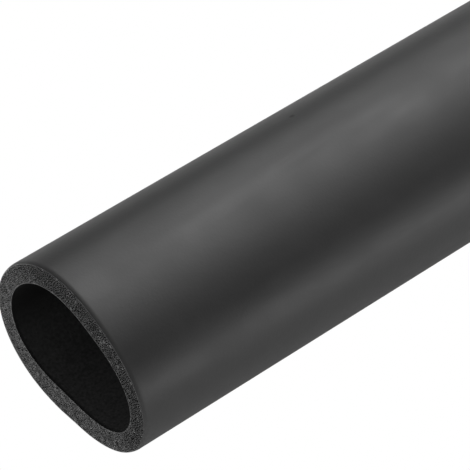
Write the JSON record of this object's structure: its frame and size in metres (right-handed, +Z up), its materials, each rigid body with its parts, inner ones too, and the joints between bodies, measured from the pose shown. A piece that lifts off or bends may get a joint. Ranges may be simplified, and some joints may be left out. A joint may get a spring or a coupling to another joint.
{
  "type": "pipe insulation lagging",
  "caption": "Straight length of black closed-cell foam tube that lags a pipe, settled slightly out of round as it lies, with plain square-cut ends.",
  "frame": {"origin": "on the floor plane, under the middle of the tube's length and width", "axes": "+X along the tube, +Z up, so that the tube lies on its flattened underside"},
  "size_m": [1, 0.0862, 0.0719],
  "materials": {
    "foam": "matte black moulded skin outside and in the bore, open cells on the cut ends"
  },
  "bodies": {
    "root": {"foam_tube": "foam"}
  },
  "joints": []
}
